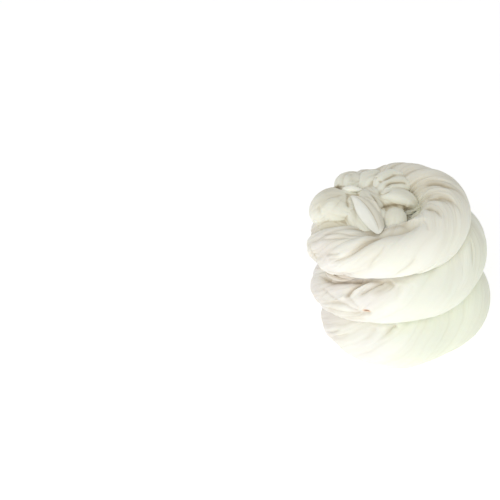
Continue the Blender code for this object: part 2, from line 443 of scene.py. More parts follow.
FOLDS = (
    # Top turn: its inner shoulder sags under the bunch, with a little painted shadow from it
    Fold(TROUGH, 9.0, 8.0,
         ((1.85, 100), (1.9, 100), (1.944, 101), (1.976, 98),
          (2.004, 98), (2.028, 98), (2.052, 102), (2.072, 108), (2.095, 118)), 0.3, 0.14, 0.19),
    # Top turn: the line of painted shade where the bunch meets its inner rim, over a shallow trough
    Fold(TROUGH, 3.0, 0.6,
         ((1.85, 88), (1.874, 88), (1.9, 103), (1.94, 114),
          (1.986, 121), (2.034, 125), (2.064, 128), (2.1, 136)), 0.3, 0.2, 2.4),
    # Top turn: the long crease from the inner rim down to the left, with a soft valley above it
    Fold(TROUGH, 3.4, 1.9, ((1.918, 20), (1.936, 38), (1.956, 60), (1.972, 76), (1.998, 98)), 0.5, 0.1),
    Fold(CREASE, 1.0, 1.9,
         ((1.884, -8), (1.9, 4), (1.928, 24), (1.952, 50), (1.976, 72), (2.01, 96)), 0.3, 0.2),
    Fold(CREASE, 0.9, 1.2, ((1.912, 16), (1.932, 36), (1.948, 56), (1.968, 71), (1.99, 86)), 0.4, 0.3),
    Fold(CREASE, 1.0, 1.5, ((1.872, 10), (1.88, 14), (1.896, 20), (1.912, 28))),
    Fold(CREASE, 0.9, 1.0, ((1.88, 3), (1.888, 6), (1.904, 12), (1.92, 18))),
    Fold(CREASE, 0.9, 0.9,
         ((1.966, -2), (1.972, 8), (1.98, 26), (1.988, 36), (1.996, 52), (1.998, 68)), 0.3, 0.4),
    Fold(CREASE, 0.9, 1.0,
         ((2.06, 32), (2.056, 20), (2.052, 12), (2.04, 0), (2.028, -10), (2.02, -26)), 0.5, 0.2),
    Fold(CREASE, 0.9, 0.7, ((2.094, 60), (2.1, 72), (2.112, 108)), 0.4, 0.3),
    Fold(CREASE, 1.3, 1.7, ((1.808, 16), (1.818, 2), (1.83, -10), (1.838, -28))),
    # Top turn, left: the lines where the ribbon comes over the rim
    Fold(CREASE, 1.1, 1.3, ((1.84, 36), (1.852, 40), (1.88, 52), (1.912, 62), (1.944, 66)), 0.3, 0.4),
    Fold(CREASE, 1.1, 1.4, ((1.836, 48), (1.848, 54), (1.88, 66), (1.92, 74), (1.96, 92))),
    # Top turn, right: three arcs that run out from the rim
    Fold(TROUGH, 3.0, 1.4, ((2.25, 46), (2.272, 62), (2.284, 92), (2.32, 112), (2.35, 134)), 0.5, 0.2),
    Fold(CREASE, 1.2, 2.0, ((2.24, 30), (2.26, 52), (2.284, 92), (2.32, 112), (2.345, 130)), 0.5, 0.2),
    Fold(CREASE, 1.2, 2.2,
         ((2.186, 34), (2.205, 56), (2.22, 86), (2.232, 110), (2.248, 136), (2.3, 158)), 0.5, 0.2),
    Fold(TROUGH, 3.0, 1.6, ((2.196, 56), (2.212, 86), (2.224, 110), (2.24, 136)), 0.5, 0.3),
    Fold(CREASE, 1.4, 2.6, ((2.142, 66), (2.152, 82), (2.16, 98), (2.166, 116), (2.182, 138)), 0.4, 0.2),
    # The fold that comes out between the two upper turns at the left
    Fold(CREASE, 1.4, 1.8, ((1.868, -44), (1.884, -38), (1.912, -32), (1.945, -30))),
    Fold(CREASE, 1.5, 2.8,
         ((0.79, 38), (0.824, 44), (0.856, 46), (0.876, 54), (0.908, 62), (0.93, 70)), 0.3, 0.1, 1.1),
    # The seam between the two upper turns, deepest left of the front, darkened with painted shade
    Fold(TROUGH, 2.2, 0.8,
         ((0.9, 62), (0.926, 66), (0.95, 66), (0.98, 66), (1.01, 65), (1.04, 64)), 0.1, 0.4, 2.2),
    Fold(TROUGH, 2.0, 0.6, ((1.9, -52), (1.93, -54), (1.96, -54), (1.99, -54), (2.02, -54)), 0.2, 0.5, 2.6),
    # Middle turn: a swathe's edge and the light ridge beside it
    Fold(CREASE, 1.3, 2.8,
         ((0.904, 22), (0.908, 28), (0.912, 40), (0.916, 48), (0.926, 58), (0.944, 72)), 0.3, 0.1, 0.9),
    Fold(RIDGE, 1.9, 1.4, ((0.912, 32), (0.918, 40), (0.93, 49), (0.946, 60), (0.962, 72)), 0.4, 0.2),
    Fold(CREASE, 1.3, 2.4, ((0.93, 28), (0.938, 37), (0.946, 44), (0.962, 57), (0.98, 66)), 0.4, 0.1, 0.9),
    Fold(TROUGH, 3.6, 1.5, ((0.956, 34), (0.968, 44), (0.984, 54), (1.0, 64)), 0.5, 0.1, 1.0),
    Fold(CREASE, 0.9, 0.8, ((1.0, 62), (1.0, 56), (0.992, 46), (0.976, 34)), 0.1, 0.6),
    Fold(TROUGH, 2.4, 0.5, ((1.014, 58), (1.012, 48), (1.008, 32), (0.994, 16)), 0.2, 0.5),
    Fold(TROUGH, 2.4, 0.5, ((1.044, 58), (1.036, 44), (1.024, 26), (1.01, 0)), 0.2, 0.5),
    # Middle turn: pleats that run together into one pinch
    Fold(CREASE, 0.9, 1.0, ((0.906, 32), (0.912, 28), (0.92, 22), (0.934, 12), (0.946, 2)), 0.2, 0.3),
    Fold(RIDGE, 1.3, 0.7, ((0.84, -8), (0.856, -2), (0.88, 6), (0.896, 20), (0.91, 32)), 0.3, 0.2),
    Fold(CREASE, 1.0, 1.4,
         ((0.826, -20), (0.848, -14), (0.884, 4), (0.908, 9), (0.926, 3), (0.946, -4)), 0.3, 0.1),
    Fold(CREASE, 1.0, 1.6,
         ((0.818, -32), (0.845, -27), (0.876, -20), (0.908, -13), (0.936, -9), (0.954, -5)), 0.3, 0.1),
    Fold(CREASE, 1.0, 1.0, ((0.832, 24), (0.848, 22), (0.868, 18), (0.89, 14), (0.912, 10)), 0.3, 0.4),
    Fold(CREASE, 1.1, 1.7, ((0.846, -50), (0.88, -43), (0.912, -33), (0.94, -17), (0.955, -7)), 0.3, 0.1),
    Fold(TROUGH, 2.6, 1.4, ((0.89, -54), (0.914, -44), (0.938, -32), (0.956, -18)), 0.4, 0.3),
    Fold(CREASE, 0.9, 1.0, ((0.834, -40), (0.862, -33), (0.894, -24), (0.924, -16), (0.95, -8)), 0.3, 0.2),
    Fold(CREASE, 0.9, 0.9, ((0.836, -6), (0.862, 0), (0.888, 8), (0.905, 14)), 0.3, 0.4),
    Fold(DIMPLE, 2.6, 2.2, ((0.955, -3), (0.957, -3))),
    Fold(CREASE, 0.9, 1.5, ((1.218, 68), (1.206, 58), (1.188, 44), (1.17, 26)), 0.4, 0.4),
    # Bottom turn
    Fold(TROUGH, 3.2, 1.5, ((-0.01, 70), (-0.022, 62), (-0.026, 54), (-0.034, 44), (-0.052, 22)), 0.1, 0.6),
    Fold(CREASE, 1.0, 1.2,
         ((-0.012, 70), (-0.024, 60), (-0.032, 46), (-0.042, 34), (-0.056, 16)), 0.1, 0.6),
    Fold(TROUGH, 2.4, 0.9, ((-0.052, 60), (-0.06, 48), (-0.068, 32), (-0.086, 14)), 0.2, 0.5),
    Fold(CREASE, 1.2, 1.7, ((-0.172, -12), (-0.16, -4), (-0.14, 14), (-0.126, 32)), 0.3, 0.4),
    Fold(CREASE, 1.0, 1.2, ((-0.154, -12), (-0.14, 0), (-0.116, 20), (-0.104, 32)), 0.3, 0.4),
)


# ---------------------------------------------------------------- cloth trees


@dataclass(frozen=True)
class PleatLayer:
    """Pleats of one size: how many go round, how short they are, how deep, and how far they wander."""

    name: str
    round: float
    along: float
    depth: float
    wander: float
    seed: float


TURN_PLEATS = (
    PleatLayer("broad_gathers", 7.0, 4.0, 2.2, 0.05, 1.0),
    PleatLayer("long_pleats", 19.0, 8.0, 1.0, 0.05, 2.0),
    PleatLayer("fine_pleats", 44.0, 18.0, 0.38, 0.04, 3.0),
)


class ClothTree:
    """A Geometry Nodes tree with named inputs that works on cloth and ends by dressing it."""

    NAME = ""
    INPUTS: dict[str, str] = {}

    def __init__(self) -> None:
        """Builds the tree."""
        tree = bpy.data.node_groups.new(self.NAME, "GeometryNodeTree")
        tree.is_modifier = True
        self.tree, self.sockets = tree, {}
        for name, kind in {"Geometry": "Geometry", **self.INPUTS, "Cloth": "Material"}.items():
            socket = tree.interface.new_socket(name, in_out="INPUT", socket_type=f"NodeSocket{kind}")
            self.sockets[name] = socket.identifier
        tree.interface.new_socket("Geometry", in_out="OUTPUT", socket_type="NodeSocketGeometry")
        given = add_node(tree, "NodeGroupInput").node.outputs
        worked = self.worked(partial(add_node, tree), given)
        real = add_node(tree, "GeometryNodeRealizeInstances", (worked,))
        dressed = add_node(tree, "GeometryNodeSetMaterial", {"Geometry": real, "Material": given["Cloth"]})
        add_node(tree, "NodeGroupOutput", (dressed,))

    def worked(self, node: NodeMaker, given: Any) -> NodeSocket:
        """Adds the tree's own nodes.

        Args:
            node: adds a node to the tree.
            given: the tree's inputs.

        Returns:
            The geometry that they make.
        """
        raise NotImplementedError

    def put_on(self, item: Object, name: str, values: dict[str, Any]) -> None:
        """Adds a modifier with this tree to an object.

        Args:
            item: the object.
            name: the modifier's name.
            values: the tree's inputs, by name.
        """
        modifier = item.modifiers.new(name, "NODES")
        modifier.node_group = self.tree
        for key, value in values.items():
            modifier[self.sockets[key]] = value


class PleatTree(ClothTree):
    """Raises pleats along a tube of cloth, following its twist."""

    NAME = "pleats_along_twist"
    INPUTS = dict.fromkeys(("Pleats Round", "Pleats Along", "Depth", "Wander", "Seed"), "Float")
    DRIFT_PER_METRE = 38.0
    SEED_STEP = 9.7
    SPREAD = 3.4  # the noise keeps near 0.5, so it is spread out to reach -1 and 1
    ROUNDNESS = 0.7  # a lower power gives fuller crests and narrower valleys
    LEVEL = 0.6  # cloth this full stays where it was, fuller cloth rises and emptier cloth sinks

    def worked(self, node: NodeMaker, given: Any) -> NodeSocket:
        """Adds a noise wrapped round the twist, folded so that its valleys are sharp.

        Args:
            node: adds a node to the tree.
            given: the tree's inputs.

        Returns:
            The pleated cloth.
        """
        turned, along, slack, hollow = (
            node(READ, {"Name": name}, "Attribute") for name in ("round", "along", "slack", "hollow")
        )
        # Each pleat wanders a little to both sides
        drift = node(NOISE, {"Vector": node(PLACE), "Scale": self.DRIFT_PER_METRE, "Detail": 1.0})
        to_a_side = node(MATH, (drift, 0.5), operation="SUBTRACT")
        widest = node(MATH, (given["Wander"], 2.0), operation="MULTIPLY")
        swing = node(MATH, (to_a_side, widest), operation="MULTIPLY")
        swung = node(MATH, (turned, swing), operation="ADD")
        # The noise is read on a cylinder whose girth is the number of pleats
        angle = node(MATH, (swung, TURN_ROUND), operation="MULTIPLY")
        radius = node(MATH, (given["Pleats Round"], TURN_ROUND), operation="DIVIDE")
        across, rise = (
            node(MATH, (node(MATH, (angle,), operation=wave), radius), operation="MULTIPLY")
            for wave in ("COSINE", "SINE")
        )
        start = node(MATH, (given["Seed"], self.SEED_STEP), operation="MULTIPLY")
        forth = node(MATH, (along, given["Pleats Along"], start), operation="MULTIPLY_ADD")
        around = node("ShaderNodeCombineXYZ", (across, rise, forth))
        grain = node(NOISE, {"Vector": around, "Scale": 1.0, "Detail": 0.0})
        spread = node(MATH, (grain, self.SPREAD, -self.SPREAD / 2), operation="MULTIPLY_ADD")
        folded = node(MATH, (spread,), operation="ABSOLUTE")
        capped = node(MATH, (folded, 1.0), operation="MINIMUM")
        full = node(MATH, (capped, self.ROUNDNESS), operation="POWER")
        # Crests rise and valleys sink, as deep as the cloth is slack
        depth = node(MATH, (given["Depth"], slack), operation="MULTIPLY")
        balanced = node(MATH, (full, self.LEVEL), operation="SUBTRACT")
        lift = node(MATH, (balanced, depth), operation="MULTIPLY")
        offset = node(VECTOR_MATH, {0: node(NORMAL), "Scale": lift}, operation="SCALE")
        moved = node(MOVE, {"Geometry": given["Geometry"], "Offset": offset})
        # Each valley's depth is also added to the hollow values, which set the shade painted into it
        empty = node(MATH, (1.0, full), operation="SUBTRACT")
        depth_mm = node(MATH, (depth, MM), operation="DIVIDE")
        sunk = node(MATH, (empty, depth_mm), operation="MULTIPLY")
        total = node(MATH, (hollow, sunk), operation="ADD")
        return node(KEEP, {"Geometry": moved, "Name": "hollow", "Value": total})

    def fold(self, item: Object, layers: tuple[PleatLayer, ...], cloth: Material) -> None:
        """Adds one modifier to the object for each layer of pleats.

        Args:
            item: the object.
            layers: the layers, from broad to fine.
            cloth: its material.
        """
        for layer in layers:
            sizes = (layer.round, layer.along, layer.depth * MM, layer.wander, layer.seed)
            self.put_on(item, layer.name, {**dict(zip(self.INPUTS, sizes)), "Cloth": cloth})


class BlendTree(ClothTree):
    """Eases a mass of overlapping swathes and hands their pleats' directions on to it."""

    NAME = "swathes_eased_together"
    INPUTS = {"Swathes": "Object", "Easing": "Int"}

    def worked(self, node: NodeMaker, given: Any) -> NodeSocket:
        """Adds a blur of the places, then each value read from the nearest swathe.

        Args:
            node: adds a node to the tree.
            given: the tree's inputs.

        Returns:
            The eased cloth.
        """
        eased = node(BLUR, {"Value": node(PLACE), "Iterations": given["Easing"]}, data_type=AS_VECTOR)
        geometry = node(MOVE, {"Geometry": given["Geometry"], "Position": eased})
        swathes = node("GeometryNodeObjectInfo", {"Object": given["Swathes"]}, "Geometry")
        nearest = {}
        for name in ("gathers", "weave_place"):
            value = node(READ, {"Name": name}, "Attribute", data_type=AS_VECTOR)
            nearest[name] = node(SAMPLE, {"Mesh": swathes, "Value": value}, "Value", data_type=AS_VECTOR)
        gathers, weave_place = nearest.values()
        # The third part of each swathe's weave place is the shade painted on it, kept as a hollow value
        shade = node("ShaderNodeSeparateXYZ", (weave_place,)).node.outputs[2]
        parts = (*node("ShaderNodeSeparateXYZ", (gathers,)).node.outputs, shade)
        for name, value in zip(("round", "along", "slack", "hollow"), parts):
            geometry = node(KEEP, {"Geometry": geometry, "Name": name, "Value": value})
        weave = {"Geometry": geometry, "Name": "weave", "Value": weave_place}
        return node(KEEP, weave, data_type="FLOAT2", domain="CORNER")


class ValleyShadeTree(ClothTree):
    """Marks painted shade in the valleys between soft forms, by how far the eased surface stands over them.
    """

    NAME = "painted_shade_in_valleys"
    INPUTS = {"Easing": "Int", "Gain": "Float"}

    def worked(self, node: NodeMaker, given: Any) -> NodeSocket:
        """Adds the blurred place against the real one, along the surface's direction.

        Args:
            node: adds a node to the tree.
            given: the tree's inputs.

        Returns:
            The cloth with painted shade marked in its valleys.
        """
        place = node(PLACE)
        eased = node(BLUR, {"Value": place, "Iterations": given["Easing"]}, data_type=AS_VECTOR)
        over = node(VECTOR_MATH, (eased, place), operation="SUBTRACT")
        deep = node(VECTOR_MATH, (over, node(NORMAL)), "Value", operation="DOT_PRODUCT")
        valley = node(MATH, (deep, 0.0), operation="MAXIMUM")
        gain = node(MATH, (given["Gain"], MM), operation="DIVIDE")
        sunk = node(MATH, (valley, gain), operation="MULTIPLY")
        total = node(MATH, (node(READ, {"Name": "hollow"}, "Attribute"), sunk), operation="ADD")
        return node(KEEP, {"Geometry": given["Geometry"], "Name": "hollow", "Value": total})


# ---------------------------------------------------------------- cloth tubes


@dataclass
class TubeGrid:
    """Rings of points that make a tube of cloth, with what its pleats and its finish read."""

    points: Array
    rounds: Array
    alongs: Array
    slack: Array
    hollow: Array
    spare: tuple[int, int] = (0, 0)

    def normals(self) -> Array:
        """The outward direction at each point."""
        round_it = np.roll(self.points, -1, axis=1) - np.roll(self.points, 1, axis=1)
        forth = np.gradient(self.points, axis=0)
        return unit(np.cross(forth, round_it))

    def pleated(self, tree: PleatTree, layers: tuple[PleatLayer, ...], cloth: Material) -> None:
        """Raises the pleats: the points and hollows become what the modifiers make of them.

        Args:
            tree: the tree that raises them.
            layers: the layers, from broad to fine.
            cloth: its material.
        """
        rows, sides = self.points.shape[:2]
        mesh = bpy.data.meshes.new("tube_before_pleats")
        mesh.from_pydata(self.points.reshape(-1, 3).tolist(), [], ring_faces(rows, sides).tolist())
        values = (self.rounds, self.alongs, self.slack, self.hollow)
        for name, column in zip(("round", "along", "slack", "hollow"), values):
            store_numbers(mesh, name, column)
        item = put_in_scene("tube_before_pleats", mesh)
        tree.fold(item, layers, cloth)
        made = plain_mesh(item)
        self.points = read_numbers(made.vertices, "co", 3).reshape(rows, sides, 3)
        self.hollow = read_numbers(made.attributes["hollow"].data, "value").reshape(rows, sides)
        bpy.data.objects.remove(item)
        bpy.data.meshes.remove(made)
        bpy.data.meshes.remove(mesh)

    def finished(self, name: str, cloth: Material) -> Object:
        """The closed piece: rings without the spare ones, a point at each end, and its finish's values.

        Args:
            name: the piece's name.
            cloth: its material.

        Returns:
            The object, linked to the scene.
        """
        keep = slice(self.spare[0], len(self.points) - self.spare[1])
        points, normals, hollow = self.points[keep], self.normals()[keep], self.hollow[keep]
        middles = points[[0, 1, -2, -1]].mean(1)
        ends, end_normals = middles[[0, 3]], unit(middles[[0, 3]] - middles[[1, 2]])
        mesh = bpy.data.meshes.new(name)
        every = np.concatenate((points.reshape(-1, 3), ends))
        mesh.from_pydata(every.tolist(), [], shell_faces(*points.shape[:2]))
        store_numbers(mesh, "hollow", np.append(hollow.ravel(), (0.0, 0.0)))
        self._lay_weave(mesh, self.rounds[keep], self.alongs[keep], points)
        mesh.materials.append(cloth)
        mesh.shade_smooth()
        facing = np.concatenate((normals.reshape(-1, 3), end_normals))
        mesh.normals_split_custom_set_from_vertices(facing.tolist())
        return put_in_scene(name, mesh)

    @staticmethod
    def _lay_weave(mesh: Mesh, rounds: Array, alongs: Array, points: Array) -> None:
        """Writes the UV map: metres round the tube and metres along it, so that a weave keeps its size.

        Args:
            mesh: the mesh that it goes on.
            rounds: the turns round the tube at each point.
            alongs: the place along it at each point.
            points: the points, in metres.
        """
        girth = np.linalg.norm(points - np.roll(points, 1, axis=1), axis=-1).sum(1).mean()
        length = np.linalg.norm(np.diff(points.mean(1), axis=0), axis=1).sum()
        span = abs(alongs[-1, 0] - alongs[0, 0]) or 1.0
        u, v = rounds * girth, alongs * (length / span)
        beside = np.concatenate((u[:, 1:], u[:, :1] + girth * np.sign(u[:, 1:2] - u[:, :1])), 1)
        corner_u = np.stack((u[:-1], u[1:], beside[1:], beside[:-1]), -1).reshape(-1)
        corner_v = np.stack((v[:-1], v[1:], v[1:], v[:-1]), -1).reshape(-1)
        caps = np.zeros(len(mesh.loops) - len(corner_u))
        both = np.stack((np.append(corner_u, caps), np.append(corner_v, caps)), -1)
        mesh.uv_layers.new(name="weave").data.foreach_set("uv", both.astype(np.float32).ravel())


# ---------------------------------------------------------------- finishes


@dataclass(frozen=True)
class ChiffonFinish:
    """Undyed polyester chiffon, woven and torn into ribbon.

    It is matt, thin and soft, so light goes through its folds and their hollows stay light and warm; painted
    shade then darkens the hollows and turns the top of the coil a darker beige. The colour leans to a cool
    lilac at one side of the coil and to green at the other.
    """

    name: str = "undyed_chiffon_woven"
    lilac: str = "F0EDE8"
    cream: str = "F5F6EB"
    green: str = "EEF2E0"
    # The darker beige of the shade painted on the top of the coil
    top_shade_beige: str = "F0EEE1"
    # The colours of the shade painted into hollows, and into the deepest of them
    hollow: str = "DBD2C4"
    deep: str = "A99B88"
    rust: str = "6A3517"
    rust_edge: str = "F0D3B8"
    roughness: float = 0.82
    scatter: float = 0.25
    scatter_mm: float = 3.0
    scatter_colour: tuple[float, float, float] = (1.0, 0.85, 0.65)
    gloss: float = 0.25
    sheen: float = 0.2
    sheen_roughness: float = 0.5
    cream_at: float = 0.42
    left_to_right_mm: tuple[float, float] = (-75.0, 75.0)
    top_shade_from_mm: tuple[float, float] = (96.0, 138.0)
    top_shade_share: float = 0.85
    drift_mm: float = 70.0
    drift_share: float = 1.6
    hollow_mm: tuple[float, float] = (0.4, 6.5)
    hollow_at: float = 0.45
    speck_at_mm: tuple[float, float, float] = (-22.5, -67.5, 65.2)
    speck_squeeze: tuple[float, float, float] = (0.75, 1.0, 1.7)
    speck_mm: float = 3.0
    speck_core: float = 0.25
    speck_edge_at: float = 0.42
    speck_fade: float = 0.4
    thread_mm: float = 0.9  # the real threads are 0.2 mm apart, drawn coarser so that the weave shows
    slub_mm: float = 1.6
    slub_stretch: float = 14
    thread_waver: float = 0.6
    weave_bump: float = 0.05
    weave_height_mm: float = 0.3
    slub_bump: float = 0.22
    slub_height_mm: float = 0.6

    def material(self) -> Material:
        """Builds the cloth's node material."""
        material = bpy.data.materials.new(self.name)
        material.use_nodes = True
        material.node_tree.nodes.clear()
        node = partial(add_node, material.node_tree)
        place = node("ShaderNodeTexCoord", out="Object")
        # Thin cloth scatters light through its folds, which softens their edges
        cloth = node(
            "ShaderNodeBsdfPrincipled",
            {
                "Base Color": self._speck(node, place, self._shade(node, self._tone(node, place))),
                "Roughness": self.roughness,
                "Subsurface Weight": self.scatter,
                "Subsurface Radius": self.scatter_colour,
                "Subsurface Scale": self.scatter_mm * MM,
                "Specular IOR Level": self.gloss,
                "Sheen Weight": self.sheen,
                "Sheen Roughness": self.sheen_roughness,
                "Normal": self._weave(node),
            },
        )
        node("ShaderNodeOutputMaterial", {"Surface": cloth})
        return material

    def _tone(self, node: NodeMaker, place: NodeSocket) -> NodeSocket:
        """The tint, drifting from side to side, with painted shade that turns it beige towards the top.

        Args:
            node: adds a node to the material.
            place: the place on the object.

        Returns:
            The colour.
        """
        parts = node("ShaderNodeSeparateXYZ", (place,)).node.outputs
        left, right = (side * MM for side in self.left_to_right_mm)
        across = node(RANGE, (parts[0], left, right))
        cloud = node(NOISE, {"Vector": place, "Scale": 1 / (self.drift_mm * MM), "Detail": 2.0})
        drift = node(MATH, (cloud, self.drift_share, -self.drift_share / 2), operation="MULTIPLY_ADD")
        where = node(MATH, (across, drift), operation="ADD")
        tints = ((0.0, self.lilac), (self.cream_at, self.cream), (1.0, self.green))
        tone = node(RAMP, (where,), stops=tints)
        # Painted shade: the cloth turns a darker beige towards the top of the coil
        low, high = (height * MM for height in self.top_shade_from_mm)
        up = node(RANGE, (parts[2], low, high, 0.0, self.top_shade_share))
        return node(MIX, {0: up, 6: tone, 7: linear(self.top_shade_beige)}, 2, data_type="RGBA")

    def _shade(self, node: NodeMaker, tone: NodeSocket) -> NodeSocket:
        """The tint, darkened and warmed by painted shade in the hollows between folds.

        Args:
            node: adds a node to the material.
            tone: the tint.

        Returns:
            The colour.
        """
        hollow = node("ShaderNodeAttribute", out="Fac", attribute_name="hollow")
        sunk = node(RANGE, (hollow, *self.hollow_mm, 0.0, 1.0))
        shades = ((0.0, "FFFFFF"), (self.hollow_at, self.hollow), (1.0, self.deep))
        shade = node(RAMP, (sunk,), stops=shades)
        return node(MIX, {0: 1.0, 6: tone, 7: shade}, 2, data_type="RGBA", blend_type="MULTIPLY")

    def _speck(self, node: NodeMaker, place: NodeSocket, cloth: NodeSocket) -> NodeSocket:
        """The cloth with one small rust speck where the pleats of the middle turn run together.

        Args:
            node: adds a node to the material.
            place: the place on the object.
            cloth: the cloth's colour.

        Returns:
            The colour.
        """
        to_speck = tuple(-v * MM for v in self.speck_at_mm)
        centred = node("ShaderNodeMapping", {"Vector": place, "Location": to_speck})
        squeezed = node(VECTOR_MATH, (centred, self.speck_squeeze), operation="MULTIPLY")
        far = node(VECTOR_MATH, (squeezed,), "Value", operation="LENGTH")
        size = self.speck_mm * MM
        near = node(RANGE, (far, size, size * self.speck_core, 0.0, 1.0))
        rusts = ((0.0, self.rust_edge), (self.speck_edge_at, self.rust_edge), (1.0, self.rust))
        stain = node(RAMP, (near,), stops=rusts)
        cover = node(RANGE, (near, 0.0, self.speck_fade, 0.0, 1.0))
        return node(MIX, {0: cover, 6: cloth, 7: stain}, 2, data_type="RGBA")

    def _weave(self, node: NodeMaker) -> NodeSocket:
        """The bumps of the plain weave and of the slubs that run along the ribbon.

        Args:
            node: adds a node to the material.

        Returns:
            The surface's direction.
        """
        weave = node("ShaderNodeUVMap", uv_map="weave")
        slub_size = self.slub_mm * MM
        stretch = (1 / slub_size, 1 / (slub_size * self.slub_stretch), 1.0)
        stretched = node("ShaderNodeMapping", {"Vector": weave, "Scale": stretch})
        slub = node(NOISE, {"Vector": stretched, "Scale": 1.0, "Detail": 3.0})
        # At scale 1 the texture's waves stand about 1 / pi metres apart
        scale = 1 / (self.thread_mm * MM) / math.pi
        waves = {"Vector": weave, "Scale": scale, "Distortion": self.thread_waver}
        warp, weft = (node("ShaderNodeTexWave", waves, "Fac", bands_direction=way) for way in ("X", "Y"))
        threads = node(MATH, (warp, weft), operation="ADD")
        slubs = {"Strength": self.slub_bump, "Distance": self.slub_height_mm * MM, "Height": slub}
        bump = {"Strength": self.weave_bump, "Distance": self.weave_height_mm * MM, "Height": threads}
        return node("ShaderNodeBump", {**bump, "Normal": node("ShaderNodeBump", slubs)})


@dataclass(frozen=True)
class FloorFinish:
    """Opal acrylic light table: matt, white and softly lit from below, so the coil's foot stays light."""

    name: str = "opal_acrylic_light_table"
    colour: str = "FAFAF8"
    roughness: float = 0.95
    light: str = "FFFFFF"
    glow: float = 0.40

    def material(self) -> Material:
        """Builds the floor's material."""
        material = bpy.data.materials.new(self.name)
        material.use_nodes = True
        inputs = material.node_tree.nodes["Principled BSDF"].inputs
        inputs["Base Color"].default_value = linear(self.colour)
        inputs["Roughness"].default_value = self.roughness
        inputs["Emission Color"].default_value = linear(self.light)
        inputs["Emission Strength"].default_value = self.glow
        return material


TURN_CLOTH = ChiffonFinish()
# The bunch's copy is greener, with its lilac end made lighter as painted light on the left puff's top
BUNCH_CLOTH = ChiffonFinish("undyed_chiffon_bunch", "F4F5EE", "F2F3E4", "EDF0DC", "F1F1E2")
# The loose end's copy, also used for the cream tip, is lighter: painted light on the brightest folds
LIT_LEAF_CLOTH = ChiffonFinish("undyed_chiffon_loose_end_painted_light", "F8F8EC", "F9F8EB", "F7F8E9", "F8F7E9")
# The seam's copy is darker: shade painted on the roll tucked into the seam
SHADED_SEAM_CLOTH = ChiffonFinish("undyed_chiffon_in_seam_painted_shade", "DDD5C8", "DFD8CA", "DDD8CA", "DFD8CA")


# ---------------------------------------------------------------- the wound turns


@dataclass
class Turn:
    """A stretch of the wound bundle between two laps, as one closed piece."""

    name: str
    first_lap: float
    last_lap: float
    rings: int
    route: WoundRoute = ROUTE
    folds: tuple[Fold, ...] = FOLDS
    sides: int = 150
    seam_at: float = 0.64
    outer_bias: float = 0.35
    denser_at: float = 0.11
    inner_slack: float = 0.25
    inner_at: float = 0.42
    inner_width: float = 0.12
    most_slack: float = 1.2
    spare_rings: int = 6
    fold_step: float = 0.5
    rough_points: int = 40
    floor_gap: float = 0.0001

    def grid(self) -> TubeGrid:
        """The tube before its pleats: base form, main lobes and the listed folds."""
        step = (self.last_lap - self.first_lap) / (self.rings - 1)
        low, high = self.route.ends
        spare = (self.spare_rings * (self.first_lap > low), self.spare_rings * (self.last_lap < high))
        laps = self.first_lap + step * (np.arange(self.rings + sum(spare)) - spare[0])
        even = np.arange(self.sides) / self.sides + self.seam_at
        away = TURN_ROUND * (even - self.denser_at)
        rounds = even - self.outer_bias * np.sin(away) / TURN_ROUND
        lap_grid, round_grid = np.meshgrid(laps, rounds, indexing="ij")
        slack, lobes = read_table(SLACKNESS, laps).T
        from_inner = (np.mod(rounds, 1.0) - self.inner_at) / self.inner_width
        inner = self.inner_slack * np.exp(-(from_inner**2))
        points = self.route.surface(lap_grid, round_grid, lobes[:, None])
        grid = TubeGrid(
            points=points,
            rounds=round_grid - lap_grid * self.route.twists_per_lap,
            alongs=lap_grid,
            slack=np.clip(slack[:, None] + inner[None], 0.0, self.most_slack),
            hollow=np.zeros(points.shape[:2]),
            spare=spare,
        )
        normals = grid.normals()
        rise, grid.hollow = self._lift(points, normals, laps)
        grid.points = (points + normals * rise[..., None]) * MM
        return grid

    def _line_of(self, fold: Fold) -> Array:
        """The fold's own line on the bundle's surface, with a point every step.

        Args:
            fold: the fold.

        Returns:
            Its points, in millimetres.
        """
        rough = self.route.line(fold.path, self.rough_points)
        long = np.linalg.norm(np.diff(rough, axis=0), axis=1).sum()
        return self.route.line(fold.path, max(int(long / self.fold_step), 2))

    def _lift(self, points: Array, normals: Array, laps: Array) -> tuple[Array, Array]:
        """How far each point rises for the folds, and how deep it then lies.

        Args:
            points: rows of points round the bundle, in millimetres.
            normals: the surface's direction at each of them.
            laps: the lap of each row.

        Returns:
            The rise, and the hollow that sets each point's painted shade, both in millimetres.
        """
        rise, hollow = np.zeros(points.shape[:2]), np.zeros(points.shape[:2])
        for fold in self.folds:
            path_laps = [lap for lap, _ in fold.path]
            near = (laps > min(path_laps) - LAPS_BESIDE) & (laps < max(path_laps) + LAPS_BESIDE)
            rows = np.where(near)[0]
            if not len(rows):
                continue
            flat, facing = points[rows].reshape(-1, 3), normals[rows].reshape(-1, 3)
            lifted = fold.rise(self._line_of(fold), flat, facing).reshape(len(rows), -1)
            rise[rows] += lifted
            hollow[rows] += fold.tint * np.maximum(-lifted, 0.0)
        return rise, hollow

    def build(self, tree: PleatTree, cloth: Material) -> Object:
        """Pleats the stretch, rests it on the floor, closes it and dresses it.

        Args:
            tree: the tree that raises the pleats.
            cloth: its material.

        Returns:
            The finished piece.
        """
        grid = self.grid()
        grid.pleated(tree, TURN_PLEATS, cloth)
        grid.points[..., 2] = np.maximum(grid.points[..., 2], self.floor_gap)
        return grid.finished(self.name, cloth)


TURNS = (
    Turn("turn_bottom", -0.75, 0.45, 560),
    Turn("turn_middle", 0.45, 1.45, 600),
    Turn("turn_top", 1.45, 2.30, 560),
    Turn("turn_end", 2.30, 2.92, 320),
)


# ---------------------------------------------------------------- the bunch on top

# A section of a swathe: the x, y and z of its middle, its half width and half height
Knot = tuple[float, float, float, float, float]


